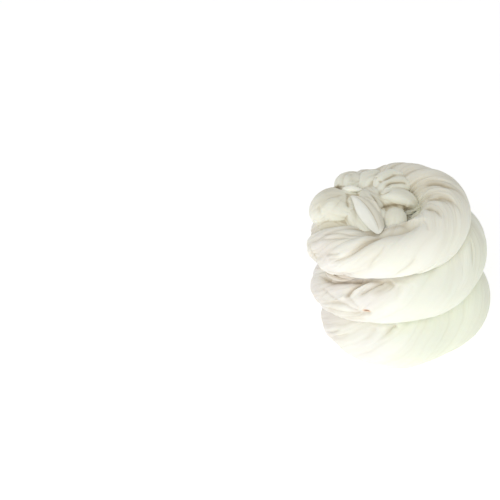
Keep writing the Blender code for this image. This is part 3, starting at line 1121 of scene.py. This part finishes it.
@dataclass(frozen=True)
class Gathers:
    """Three sizes of pleats, broad, long and fine: how many go round, how deep, how short, how wandering."""

    counts: tuple[int, int, int] = (5, 13, 30)
    depths: tuple[float, float, float] = (2.4, 1.1, 0.4)
    alongs: tuple[float, float, float] = (9.0, 16.0, 30.0)
    wanders: tuple[float, float, float] = (0.06, 0.05, 0.04)

    def layers(self, seed: float = 1.0) -> tuple[PleatLayer, ...]:
        """The three layers, from broad to fine.

        Args:
            seed: where their noise starts.

        Returns:
            The layers.
        """
        names = ("broad_gathers", "long_pleats", "fine_pleats")
        seeds = (seed, seed + 20, seed + 40)
        sizes = zip(names, self.counts, self.alongs, self.depths, self.wanders, seeds)
        return tuple(PleatLayer(*layer) for layer in sizes)


@dataclass
class Swathe:
    """A swathe of gathered ribbon along a short path, drawn together at both of its ends."""

    name: str
    knots: tuple[Knot, ...]
    gathers: Gathers = Gathers()
    twist: float = 0.15
    seed: float = 1.0
    full_at: float = 12.0
    rings: int = 90
    sides: int = 120
    across: tuple[float, float, float] | None = None
    # The shade painted over the swathe's part of the bunch, in millimetres of hollow
    shade: float = 0.0
    seam_at: float = 0.75
    thinnest: float = 0.4
    slack_range: tuple[float, float] = (0.1, 1.1)

    def grid(self) -> TubeGrid:
        """The swathe's tube before its pleats."""
        made = smooth_rows(self.knots, self.rings)
        middle, half = made[:, :3], np.maximum(made[:, 3:], self.thinnest)
        ahead = unit(np.gradient(middle, axis=0))
        side = np.broadcast_to(np.array(self.across), ahead.shape) if self.across else np.cross(ahead, UP)
        side = unit(side - ahead * (side * ahead).sum(-1, keepdims=True))
        rise = np.cross(side, ahead)
        rounds = np.arange(self.sides) / self.sides + self.seam_at
        angle = TURN_ROUND * rounds
        points = (
            middle[:, None]
            + side[:, None] * (half[:, :1] * np.cos(angle))[..., None]
            + rise[:, None] * (half[:, 1:] * np.sin(angle))[..., None]
        )
        length = np.append(0.0, np.linalg.norm(np.diff(middle, axis=0), axis=1).cumsum())[:, None]
        slack = np.clip(half.min(1) / self.full_at, *self.slack_range)[:, None]
        return TubeGrid(
            points=(points + STAND) * MM,
            rounds=rounds[None] + self.twist * (length / length[-1]),
            alongs=np.broadcast_to(length / MM_PER_LAP, points.shape[:2]) + self.seed,
            slack=np.broadcast_to(slack, points.shape[:2]),
            hollow=np.zeros(points.shape[:2]),
        )

    def build(self, tree: PleatTree, cloth: Material) -> Object:
        """Pleats the swathe, closes it and dresses it.

        Args:
            tree: the tree that raises the pleats.
            cloth: its material.

        Returns:
            The finished piece.
        """
        grid = self.grid()
        grid.pleated(tree, self.gathers.layers(self.seed), cloth)
        return grid.finished(self.name, cloth)


CORE = Swathe(
    "core",
    ((11.0, 0, 6, 28, 28), (4.0, 0, 40, 31, 31), (-4.0, 0, 80, 31, 31), (-8.0, 0, 96, 27, 27),
     (-9.5, 0, 104, 15, 15), (-10.0, 0, 107, 3, 3)),
    Gathers((5, 14, 32), (3.0, 1.2, 0.4)), twist=0.5, seed=9.0, across=(1.0, 0.0, 0.0),
)

SMALL_ENDS = (
    Swathe(
        "twisted_end_upper",
        ((1, -2, 117, 1.2, 1.2), (5, 3, 118.5, 3.4, 3.0), (10, 9, 119.5, 4.2, 3.4),
         (15, 16, 119, 3.6, 3.2), (20, 24, 117, 1.5, 1.5)),
        Gathers((4, 9, 20), (1.6, 0.7, 0.4)), twist=0.9, seed=10.2, full_at=5.0, rings=70, sides=70,
    ),
    Swathe(
        "twisted_end_lower",
        ((4, -8, 112, 1.2, 1.2), (8, -3, 114, 3.2, 2.8), (13, 3, 115.5, 3.8, 3.2),
         (18, 10, 116.5, 3.4, 3.0), (23, 19, 116, 1.2, 1.2)),
        Gathers((4, 9, 20), (1.5, 0.7, 0.4)), twist=-0.8, seed=11.1, full_at=5.0, rings=70, sides=70,
    ),
)

CREAM_TIP = Swathe(
    "cream_fold_tip",
    ((-51, 6, 131, 1, 1), (-48, 4.5, 133.5, 2.8, 2.2), (-43.5, 3, 135, 3.6, 2.6), (-39, 3, 135, 2.6, 2),
     (-35, 4.5, 134, 0.6, 0.6)),
    Gathers((3, 7, 16), (0.8, 0.4, 0.2)), seed=2.4, rings=50, sides=60,
)

TUCKED_ROLL = Swathe(
    "tucked_roll",
    ((-59, -26, 71, 0.8, 0.8), (-55.5, -34, 74, 3.0, 2.6), (-48.3, -42.4, 78, 3.8, 3.0),
     (-40.5, -47.6, 81.5, 3.2, 2.6), (-32.5, -50.5, 84.5, 0.8, 0.8)),
    Gathers((4, 9, 20), (2.2, 1.0, 0.4)), twist=0.5, seed=12.6, full_at=4.0, rings=80, sides=60,
)

BUNCH = (
    Swathe("bunch_bed",
           ((-56, 4, 96, 4, 4), (-44, 5, 104, 18, 10), (-26, 8, 109, 27, 12), (-8, 10, 109, 25, 12),
            (8, 12, 104, 17, 10), (17, 13, 97, 4, 4)), seed=0.6),
    Swathe("left_puff",
           ((-27, -8, 118, 4, 4), (-34, -7, 121, 13, 9), (-44, -4, 121.5, 20, 12),
            (-54, -1, 120.5, 22, 14), (-62, -1, 117, 20, 14), (-69, -3, 110, 13, 10),
            (-72, -4, 104, 3, 3)), twist=0.05, seed=1.3, rings=130, sides=170),
    Swathe("pinch_bed",
           ((-38, 16, 121, 3, 3), (-30, 11, 124.5, 11, 8), (-21, 4, 125, 12, 8.5),
            (-12, 0, 122, 11, 8), (-4, -4, 117, 3, 3)), shade=0.3),
    Swathe("foot_bed",
           ((-66, -14, 104, 3, 3), (-56, -16, 109, 9, 9), (-45, -19, 111, 10, 10),
            (-34, -24, 110, 9, 9), (-26, -28, 106, 3, 3)), shade=1.8),
    Swathe("leaf_bed",
           ((-46, 6, 122, 3, 3), (-39, -6, 121.5, 12, 9), (-31, -18, 118, 15, 10),
            (-23, -29, 113, 11, 8), (-18, -37, 107, 2, 2)), seed=2.1),
    Swathe("panel_fold",
           ((-40, 8, 127, 2, 3), (-34, 2, 128, 8, 6.5), (-27.5, -7, 126.5, 10.5, 7),
            (-22, -16, 122.5, 9, 6.5), (-18, -26, 116, 2, 2)), seed=2.9, shade=0.5),
    Swathe("fan_ear",
           ((-22, 3, 128, 3, 4), (-14, 3, 129, 8.5, 6.5), (-5, 5, 127.5, 12, 8), (3, 8, 124, 11, 8),
            (9, 10, 118, 4, 5)), seed=3.4),
    Swathe("fan_fold",
           ((-22, 6, 130, 2, 2), (-17, 13, 131, 6, 6), (-10, 20, 131, 8, 7), (-2, 26, 129, 8, 7),
            (6, 32, 122, 3, 3)), seed=4.2),
    Swathe("fan_crest",
           ((-24, 12, 130, 2, 3), (-20, 22, 131, 8, 7), (-12, 33, 130, 10, 8), (-4, 41, 126, 10, 8),
            (3, 47, 119, 3, 4)), seed=5.6),
    Swathe("round_puff",
           ((-6.5, -1, 121, 1.5, 1.5), (-6.5, -4, 121.3, 6.5, 4.5), (-6.5, -9, 120, 10, 8.5),
            (-6.5, -16, 116, 11.6, 11.5), (-6.5, -23, 109.5, 9.5, 10), (-6.5, -29, 102, 2, 3)),
           twist=0.12, seed=6.3, full_at=30.0, shade=0.35),
    Swathe("back_fold_left",
           ((-48, 9, 125, 3, 3), (-47, 20, 124.5, 13, 11), (-43, 31, 122, 16, 12),
            (-39, 42, 117, 12, 10), (-36, 50, 110, 3, 3)), seed=7.7),
    Swathe("back_fold_right",
           ((-34, 12, 127, 3, 3), (-32, 21, 127, 10, 9), (-28, 32, 126, 12, 10), (-22, 43, 120, 10, 9),
            (-18, 50, 113, 3, 3)), seed=8.8),
    Swathe("plug",
           ((-2, -2, 102, 3, 3), (6, 5, 106, 9, 8), (13, 14, 107, 10, 8), (19, 24, 106, 8, 7),
            (24, 33, 102, 3, 3)), twist=0.5, seed=9.5, rings=70, sides=100),
)

# Each fold as above, with (x, y, z) points; the last number is its tint of painted shade
BUNCH_FOLDS = (
    # Left puff: the nick over its crest, darkened with painted shade, the line from the pinch,
    # the hollow at its foot, soft pleats
    Fold(TROUGH, 2.0, 2.4, ((-58, 17, 129), (-54, 9, 131), (-49, 2, 132.5)), 0.1, 0.3, 1.6),
    Fold(CREASE, 1.0, 1.5,
         ((-45, -3, 133), (-45.8, -9.5, 132.3), (-44.4, -14.4, 130.6), (-43.1, -18.6, 128.5)), 0.1, 0.3),
    Fold(CREASE, 0.9, 0.55,
         ((-47.0, -5.6, 132.8), (-51.2, -12.4, 131.6), (-54.5, -18.4, 129.2), (-58, -22, 124.4)), 0.2, 0.4),
    Fold(CREASE, 0.9, 0.45, ((-47.9, -4.3, 132.8), (-55.0, -7.0, 131.9), (-61.2, -9.0, 129.6)), 0.2, 0.5),
    Fold(TROUGH, 1.8, 0.6, ((-68.5, -8.5, 124.7), (-67.5, -16.5, 121.0), (-66.5, -20.0, 117.0)), 0.3, 0.4),
    # Panel: the light line down its right side and the crease beyond it
    Fold(RIDGE, 1.1, 1.3,
         ((-31.1, -0.8, 134.3), (-25.7, -7.5, 133.1),
          (-21.8, -14.2, 130.9), (-18.9, -19, 127.4)), 0.3, 0.1),
    Fold(CREASE, 1.0, 1.6,
         ((-28.8, 2.2, 133.8), (-23.4, -4.9, 132.8),
          (-19.5, -13.1, 130.5), (-17.6, -17, 127.5)), 0.3, 0.4, 1.2),
    # Fan: the crevice under the ear, its ridge and nick, and the folds above that run out to the right
    Fold(CREASE, 1.2, 2.0,
         ((-18.4, -14, 128), (-15.5, -9.4, 127.7),
          (-9.2, -4.7, 127.3), (-2.8, -4.4, 127.8), (3, -3, 126)), 0.1, 0.1, 1.4),
    Fold(RIDGE, 1.1, 1.4,
         ((-17.4, 2.4, 133.8), (-13.8, 9.0, 134.1), (-9.9, 12.6, 135.3), (-4.3, 16.0, 134.8)), 0.2, 0.4),
    Fold(CREASE, 0.9, 1.6,
         ((-22, 6.5, 132), (-18.1, 1.0, 132.6), (-13.4, 2.8, 134.9), (-9.0, 8.5, 134)), 0.2, 0.4, 1.2),
    Fold(CREASE, 1.2, 2.2,
         ((-18, 8, 134.5), (-12.6, 14.4, 136.8),
          (-7.8, 17.1, 136.7), (-1.3, 20, 135.6), (3, 21, 133)), 0.2, 0.2, 1.0),
    Fold(CREASE, 1.1, 1.4,
         ((-19.3, 16.6, 135.9), (-14.7, 22.1, 137.0), (-10.1, 28.0, 137.0), (-5.2, 32.5, 135.9))),
    Fold(RIDGE, 2.0, 1.0,
         ((-10, 29, 136.8), (-7.7, 30.8, 136.6), (-4.5, 34.2, 135.9), (-2, 36, 135)), 0.3, 0.2),
    Fold(DIMPLE, 1.3, 1.4, ((-24.7, 22.8, 136.7), (-24.6, 22.8, 136.7))),
    Fold(DIMPLE, 1.2, 1.2, ((-21.0, 17.4, 136.2), (-20.9, 17.4, 136.2))),
    Fold(DIMPLE, 1.5, 1.8, ((-30.1, 12.8, 129.5), (-30.0, 12.8, 129.5)), 0.0, 0.0, 1.5),
    # The crevice between the round puff and the top turn, with painted shade that makes a dark crescent
    Fold(TROUGH, 2.6, 2.2, ((3, 0, 123), (5.6, -7, 119.5), (5.4, -14, 116), (1, -22, 113)), 0.2, 0.2, 2.6),
    # Under the cream tip: a crease with painted shadow
    Fold(CREASE, 0.9, 1.6,
         ((-48, -2.5, 133), (-44, -2.5, 133.5), (-40, -1.5, 133), (-37, -4, 132)), 0.2, 0.2, 1.2),
    # Back folds
    Fold(TROUGH, 2.4, 0.8, ((-46, 30, 134), (-45.6, 25.4, 134.2), (-44, 18.4, 130.6)), 0.3, 0.1, 1.0),
)


@dataclass
class SoftBunch:
    """The gathered folds on top: swathes melted into one soft mass, then creased and pleated."""

    name: str = "bunch"
    swathes: tuple[Swathe, ...] = BUNCH
    folds: tuple[Fold, ...] = BUNCH_FOLDS
    gathers: Gathers = Gathers((5, 14, 34), (1.2, 0.6, 0.3))
    voxel: float = 0.6
    easing: int = 14
    hollow_easing: int = 50
    hollow_gain: float = 2.2
    line_points: int = 80

    def _joined(self) -> Object:
        """All the swathes' closed shells in one object, with what their pleats and weave read and their
        painted shade.
        """
        points, faces, gathers, places = [], [], [], []
        for swathe in self.swathes:
            grid = swathe.grid()
            rows, sides = grid.points.shape[:2]
            first = sum(len(part) for part in points)
            girth = np.linalg.norm(np.diff(grid.points, axis=1), axis=-1).sum(1).mean()
            values = np.stack((grid.rounds, grid.alongs, grid.slack), -1)
            shade = np.full((rows, sides), swathe.shade)
            place = np.stack((grid.rounds * girth, grid.alongs * MM_PER_LAP * MM, shade), -1)
            for kept, grown in ((points, grid.points), (gathers, values), (places, place)):
                ends = grown[[0, -1]].mean(1) if kept is points else grown[[0, -1], 0]
                kept.append(np.concatenate((grown.reshape(-1, 3), ends)))
            faces += [[corner + first for corner in face] for face in shell_faces(rows, sides)]
        mesh = bpy.data.meshes.new("swathes")
        mesh.from_pydata(np.concatenate(points).tolist(), [], faces)
        store_numbers(mesh, "gathers", np.concatenate(gathers), AS_VECTOR)
        store_numbers(mesh, "weave_place", np.concatenate(places), AS_VECTOR)
        return put_in_scene("swathes", mesh)

    def _crease(self, mesh: Mesh) -> None:
        """Works the listed folds into the soft mass.

        Args:
            mesh: the mass's mesh, which is changed.
        """
        points = read_numbers(mesh.vertices, "co", 3) / MM
        normals = read_numbers(mesh.vertex_normals, "vector", 3)
        hollows = mesh.attributes["hollow"].data
        rise, hollow = np.zeros(len(points)), read_numbers(hollows, "value")
        for fold in self.folds:
            line = smooth_rows(np.array(fold.path, float) + STAND, self.line_points)
            lifted = fold.rise(line, points, normals)
            rise += lifted
            hollow += fold.tint * np.maximum(-lifted, 0.0)
        points = (points + normals * rise[:, None]) * MM
        mesh.vertices.foreach_set("co", points.astype(np.float32).ravel())
        hollows.foreach_set("value", hollow.astype(np.float32))
        mesh.update()

    def build(self, blend: BlendTree, pleats: PleatTree, hollows: ValleyShadeTree, cloth: Material) -> Object:
        """Melts the swathes together, creases and pleats them and marks painted shade in their hollows.

        Args:
            blend: the tree that eases the melted swathes.
            pleats: the tree that raises the pleats.
            hollows: the tree that marks painted shade in the valleys.
            cloth: the bunch's material.

        Returns:
            The finished bunch.
        """
        swathes = self._joined()
        item = put_in_scene(self.name, swathes.data.copy())
        melt = item.modifiers.new("melt", "REMESH")
        melt.mode = "VOXEL"
        melt.voxel_size = self.voxel * MM
        blend.put_on(item, "ease", {"Swathes": swathes, "Easing": self.easing, "Cloth": cloth})
        item.data = plain_mesh(item)
        item.modifiers.clear()
        bpy.data.objects.remove(swathes)
        self._crease(item.data)
        pleats.fold(item, self.gathers.layers(), cloth)
        marks = {"Easing": self.hollow_easing, "Gain": self.hollow_gain, "Cloth": cloth}
        hollows.put_on(item, "hollows", marks)
        item.data = plain_mesh(item)
        item.modifiers.clear()
        item.data.shade_smooth()
        return item


# ---------------------------------------------------------------- the loose end

# A place along the loose end: the x, y and z of its middle, its half width, and how far its edges hang
Rib = tuple[float, float, float, float, float]


@dataclass
class LooseEnd:
    """The leaf-shaped end of the ribbon, a thin folded sheet with two lobes that lies over the bunch."""

    name: str = "loose_end_leaf"
    ribs: tuple[Rib, ...] = (
        (-42.5, -6, 133.0, 0.9, 0.2),
        (-37, -10.5, 133.5, 5.0, 1.6),
        (-30.5, -17, 132.0, 8.8, 3.2),
        (-24, -25, 128.5, 8.8, 3.8),
        (-19, -32.5, 123.5, 6.0, 2.6),
        (-16.5, -38.5, 119.0, 1.2, 0.4),
    )
    thickness: float = 0.5
    clearance: float = 0.9
    rows: int = 110
    columns: int = 50
    easing: int = 25
    eased_share: float = 0.4
    vein_at: float = 0.08
    vein_width: float = 0.07
    vein_shade_before: float = 0.04
    lobe_shade_past_vein: tuple[float, float] = (-0.04, 0.06)
    vein_shade: float = 1.8
    lobe_shade: float = 1.8
    shade_fades: tuple[float, float] = (0.15, 0.2)
    lobes: tuple[float, float] = (2.2, 1.5)
    lobe_fullness: float = 0.8
    far_lobe_from: float = 0.15
    bow_fullness: float = 0.6
    lap_over: float = 0.9
    pleat_depth: float = 0.22
    pleats_across: float = 5.0
    pleat_slant: float = 0.4
    drop_from: float = 180.0

    def _rest_heights(self, middle: Array, grounds: list[Object]) -> Array:
        """The height of what lies under each point of the sheet, in millimetres.

        Args:
            middle: the sheet's points from above.
            grounds: the pieces that it lies on.

        Returns:
            Their greatest height at each point.
        """
        graph = bpy.context.evaluated_depsgraph_get()
        trees = [BVHTree.FromObject(ground, graph) for ground in grounds]
        heights = np.zeros(middle.shape[:2])
        for spot in np.ndindex(heights.shape):
            start = Vector((*(middle[spot] * MM), self.drop_from * MM))
            hits = [tree.ray_cast(start, Vector((0, 0, -1)))[0] for tree in trees]
            heights[spot] = max((hit.z / MM for hit in hits if hit), default=0.0)
        return heights

    def _draped(self, heights: Array, floor: Array) -> Array:
        """Eases the sheet until it lies softly on what is under it.

        Args:
            heights: its heights, in millimetres.
            floor: the least height at each point.

        Returns:
            The eased heights.
        """
        heights = np.maximum(heights, floor)
        for _ in range(self.easing):
            padded = np.pad(heights, 1, mode="edge")
            around = (padded[2:, 1:-1] + padded[:-2, 1:-1] + padded[1:-1, 2:] + padded[1:-1, :-2]) / 4
            heights = np.maximum((1 - self.eased_share) * heights + self.eased_share * around, floor)
        return heights

    def _lobed(self, w: Array) -> Array:
        """The two lobes across the sheet.

        Args:
            w: places across it, whose edges stand at -1 and 1.

        Returns:
            Their height, in millimetres.
        """
        near = np.clip((w + 1) / (self.vein_at + 1), 0, 1)
        far = np.clip((w - self.vein_at) / (1 - self.vein_at), 0, 1)
        over = self.far_lobe_from + (1 - self.far_lobe_from) * far
        near_lobe = self.lobes[0] * np.sin(math.pi * near) ** self.lobe_fullness
        far_lobe = self.lobes[1] * np.sin(math.pi * over) + self.lap_over * (1 - far) ** 2
        return np.where(w < self.vein_at, near_lobe, far_lobe)

    def _shade(self, w: Array, t: Array) -> Array:
        """How deep the sheet counts as lying: most in the vein and on the lobe turned from the light.

        Args:
            w: places across the sheet, whose edges stand at -1 and 1.
            t: places along it, from 0 to 1.

        Returns:
            The hollow at each place, in millimetres.
        """
        past_vein = self.vein_at - w
        in_vein = np.exp(-(((-past_vein + self.vein_shade_before) / self.vein_width) ** 2))
        on_lobe = smooth_step(*self.lobe_shade_past_vein, past_vein)
        start, end = self.shade_fades
        shade = self.vein_shade * in_vein + self.lobe_shade * on_lobe
        return shade * smooth_step(0.0, start, t) * smooth_step(0.0, end, 1 - t)

    def build(self, cloth: Material, grounds: list[Object]) -> Object:
        """Shapes the sheet's lobes, lays it over what lies under it and gives it its thickness.

        Args:
            cloth: its material.
            grounds: the pieces that it lies on.

        Returns:
            The finished sheet.
        """
        made = smooth_rows(self.ribs, self.rows)
        middle, height, half, arch = made[:, :2] + STAND[:2], made[:, 2:3], made[:, 3:4], made[:, 4:5]
        ahead = unit(np.gradient(middle, axis=0))
        side = np.stack((ahead[:, 1], -ahead[:, 0]), -1)
        w = -np.linspace(-1, 1, self.columns)[None]
        t = np.linspace(0, 1, self.rows)[:, None]
        flat = middle[:, None] + side[:, None] * (half * w)[..., None]
        bow = np.clip(np.sin(math.pi * t), 0.0, 1.0)
        pleats = np.sin(TURN_ROUND * (self.pleats_across * w / 2 + self.pleat_slant * t))
        heights = height - arch * w**2 + self._lobed(w) * bow**self.bow_fullness
        heights += self.pleat_depth * pleats * bow
        floor = self._rest_heights(flat, grounds) + self.clearance
        points = np.concatenate((flat, self._draped(heights, floor)[..., None]), -1) * MM
        item = self._sheet(points, self._shade(w, t), cloth)
        thicken = item.modifiers.new("thickness", "SOLIDIFY")
        thicken.thickness = self.thickness * MM
        thicken.offset = 1.0
        item.data = plain_mesh(item)
        item.modifiers.clear()
        return item

    def _sheet(self, points: Array, hollow: Array, cloth: Material) -> Object:
        """An open sheet through rows of points, facing up, with its weave and its painted shade values.

        Args:
            points: rows of points, in metres.
            hollow: how deep each point counts as lying, in millimetres.
            cloth: its material.

        Returns:
            The object, linked to the scene.
        """
        rows, columns = points.shape[:2]
        row, column = np.meshgrid(np.arange(rows - 1), np.arange(columns - 1), indexing="ij")
        corner = row * columns + column
        faces = np.stack((corner, corner + columns, corner + columns + 1, corner + 1), -1).reshape(-1, 4)
        first = points[[0, 1, 1], [0, 0, 1]]
        if np.cross(first[1] - first[0], first[2] - first[1])[2] < 0:
            faces = faces[:, ::-1]
        mesh = bpy.data.meshes.new(self.name)
        mesh.from_pydata(points.reshape(-1, 3).tolist(), [], faces.tolist())
        store_numbers(mesh, "hollow", hollow)
        spine = points.mean(1)
        long = np.append(0, np.linalg.norm(np.diff(spine, axis=0), axis=1).cumsum())
        wide = np.linalg.norm(points - spine[:, None], axis=-1) * np.sign(np.arange(columns) - columns / 2)
        uv = np.stack((wide, np.broadcast_to(long[:, None], wide.shape)), -1).reshape(-1, 2)
        weave = mesh.uv_layers.new(name="weave")
        weave.data.foreach_set("uv", uv[faces.ravel()].astype(np.float32).ravel())
        mesh.materials.append(cloth)
        mesh.shade_smooth()
        return put_in_scene(self.name, mesh)


# ---------------------------------------------------------------- the studio


@dataclass(frozen=True)
class Studio:
    """Pale lit floor, soft light from the front and all round, and the camera above the coil."""

    coil_centre: tuple[float, float, float] = (-0.0011, 0.00065, 0.066)
    elevation: float = 34.0
    distance: float = 0.9154
    lens: float = 78.0
    look_left: float = 9.396
    look_down: float = 33.566
    nearest: float = 0.01
    key_power: float = 5.7
    key_size: float = 0.9
    key_place: tuple[float, float, float] = (-0.25, -1.15, 0.68)
    room_light: float = 0.6
    floor_half: float = 3.0

    def build(self) -> None:
        """Makes the floor, the lights and the camera."""
        scene = bpy.context.scene
        scene.view_settings.view_transform = "Standard"
        self._camera(scene)
        self._lights(scene)
        floor = bpy.data.meshes.new("floor")
        half = self.floor_half
        corners = ((-half, -half, 0), (half, -half, 0), (half, half, 0), (-half, half, 0))
        floor.from_pydata(corners, [], [(0, 1, 2, 3)])
        floor.materials.append(FloorFinish().material())
        put_in_scene("floor", floor)

    def _camera(self, scene: bpy.types.Scene) -> None:
        """The camera, looking down at the coil, which stands right of the middle of its view.

        Args:
            scene: the scene that it looks at.
        """
        camera = put_in_scene("camera", bpy.data.cameras.new("camera"))
        camera.data.lens = self.lens
        camera.data.clip_start = self.nearest
        rise, left = math.radians(self.elevation), math.radians(self.look_left)
        back = Vector((0.0, -math.cos(rise), math.sin(rise)))
        camera.location = Vector(self.coil_centre) + back * (self.distance / math.cos(left))
        camera.rotation_euler = (math.radians(90 - self.look_down), 0.0, left)
        scene.camera = camera

    def _lights(self, scene: bpy.types.Scene) -> None:
        """White room light and one big soft key from the front.

        Args:
            scene: the scene that they light.
        """
        world = bpy.data.worlds.new("white_room")
        world.use_nodes = True
        room = world.node_tree.nodes["Background"].inputs
        room["Color"].default_value = linear("FFFFFF")
        room["Strength"].default_value = self.room_light
        scene.world = world
        key = bpy.data.lights.new("front_softbox", "AREA")
        key.shape = "DISK"
        key.size = self.key_size
        key.energy = self.key_power
        lamp = put_in_scene("front_softbox", key)
        lamp.location = self.key_place
        lamp.rotation_euler = (Vector(self.coil_centre) - lamp.location).to_track_quat("-Z", "Y").to_euler()


def settle_on_body(piece: Object, *nodes: str) -> None:
    """Rides the piece on the coil's body, and lets it stand for these solids.

    Args:
        piece: the piece.
        *nodes: the names of the solids.
    """
    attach(piece, BODY)
    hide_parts(*nodes)
    log.info("%s: %d faces", piece.name, len(piece.data.polygons))


def main() -> None:
    """Builds the studio, then the coil's pieces in order, and dresses them."""
    logging.basicConfig(level=logging.INFO)
    Studio().build()
    cloths = (TURN_CLOTH, BUNCH_CLOTH, LIT_LEAF_CLOTH)
    turn_cloth, bunch_cloth, lit_leaf_cloth = (cloth.material() for cloth in cloths)
    pleats = PleatTree()
    pieces = {part.name: part.build(pleats, turn_cloth) for part in (*TURNS, CORE)}
    pieces[TUCKED_ROLL.name] = TUCKED_ROLL.build(pleats, SHADED_SEAM_CLOTH.material())
    pieces["bunch"] = SoftBunch().build(BlendTree(), pleats, ValleyShadeTree(), bunch_cloth)
    pieces |= {part.name: part.build(pleats, bunch_cloth) for part in SMALL_ENDS}
    pieces[CREAM_TIP.name] = CREAM_TIP.build(pleats, lit_leaf_cloth)
    for piece in pieces.values():
        settle_on_body(piece, "coiled_hank")
    leaf = LooseEnd().build(lit_leaf_cloth, [pieces[name] for name in ("turn_top", "bunch")])
    settle_on_body(leaf, "loose_end")


if __name__ == "__main__":
    main()
